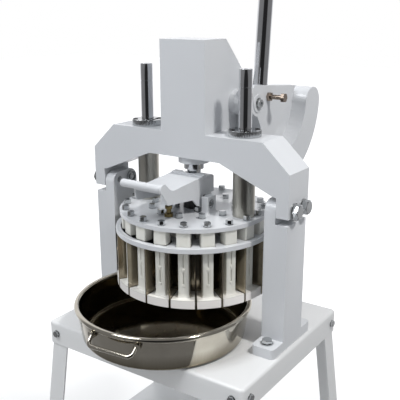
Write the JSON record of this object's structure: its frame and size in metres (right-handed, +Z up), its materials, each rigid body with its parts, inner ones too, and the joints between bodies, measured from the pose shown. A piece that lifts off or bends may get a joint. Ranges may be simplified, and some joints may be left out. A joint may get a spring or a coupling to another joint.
{
  "type": "manual dough divider",
  "caption": "Hand-lever dough divider on a splayed stand: press arch, rack-driven knife head with pushers, latch flap, counterweighted lever and a round pan with wire handles.",
  "frame": {"origin": "on the floor, under the middle of the object's box", "axes": "+Z up, +X to the operator's right, -Y towards the operator"},
  "size_m": [0.63, 0.64, 1.7307],
  "materials": {
    "white_paint": "semi-gloss white powder coat",
    "sheet_paint": "semi-gloss white powder coat on folded sheet",
    "chrome": "hard chrome, bright",
    "brushed": "brushed stainless steel",
    "polished": "polished stainless steel",
    "zinc": "bright zinc plate",
    "dark_steel": "dark machined steel",
    "blade": "ground stainless blades",
    "ivory": "ivory food-grade plastic",
    "brass": "plain brass",
    "bronze": "brown bronze bush metal",
    "rubber": "black rubber"
  },
  "bodies": {
    "frame": {"table_top": "sheet_paint", "leg_front_left": "sheet_paint", "leg_front_right": "sheet_paint", "leg_rear_left": "sheet_paint", "leg_rear_right": "sheet_paint", "floor_pads": "rubber", "lower_shelf": "sheet_paint", "leg_bolts": "zinc", "shelf_bolts": "zinc", "left_column": "white_paint", "right_column": "white_paint", "foot_bolts": "zinc", "arch_casting": "white_paint", "arch_bolts": "zinc", "rear_cover": "sheet_paint", "cover_screws": "zinc", "left_guide_collar": "zinc", "right_guide_collar": "zinc", "collar_screws": "dark_steel", "ram_bush": "white_paint", "left_shaft_bush": "bronze", "right_shaft_bush": "bronze"},
    "lever": {"pinion_shaft": "chrome", "pinion_gear": "dark_steel", "lever_casting": "white_paint", "lever_pipe": "chrome", "lever_grip": "rubber", "hub_screw": "zinc", "clamp_bolt": "bronze"},
    "knife_head": {"ram": "chrome", "crosshead": "white_paint", "knife_hub": "dark_steel", "knife_plate": "white_paint", "knife_grid": "blade"},
    "press_head": {"press_plate": "white_paint", "outer_pushers": "ivory", "middle_pushers": "ivory", "inner_pushers": "ivory", "pusher_bolts": "zinc", "left_guide_rod": "chrome", "right_guide_rod": "chrome", "left_rod_sleeve": "brushed", "right_rod_sleeve": "brushed", "latch_lugs": "white_paint", "latch_pins": "zinc", "stop_screw": "brass"},
    "latch": {"latch_flap": "white_paint", "latch_bar": "white_paint"},
    "pan": {"pan": "polished", "pan_handles": "polished", "handle_brackets": "polished"}
  },
  "joints": [
    {"name": "lever_swing", "type": "hinge", "parent": "frame", "child": "lever", "pos_m": [0, 0.05606, 1.174], "axis": [1, 0, 0], "range_deg": [0, 15.9]},
    {"name": "head_slide", "type": "slide", "parent": "frame", "child": "knife_head", "axis": [0, 0, -1], "range_m": [0, 0.015]},
    {"name": "press_slide", "type": "slide", "parent": "knife_head", "child": "press_head", "axis": [0, 0, 1], "range_m": [0, 0.012]},
    {"name": "latch_tip", "type": "hinge", "parent": "press_head", "child": "latch", "pos_m": [0, -0.03895, 0.975], "axis": [1, 0, 0], "range_deg": [0, 12], "stiffness_Nm_per_rad": 1.5, "springref_deg": -45.84},
    {"name": "pan_slide", "type": "slide", "parent": "frame", "child": "pan", "axis": [0.0995, 0.995, 0], "range_m": [0, 0.1]}
  ],
  "couplings": [
    {"joint": "head_slide", "follows": "lever_swing", "m_per_rad": 0.054}
  ]
}
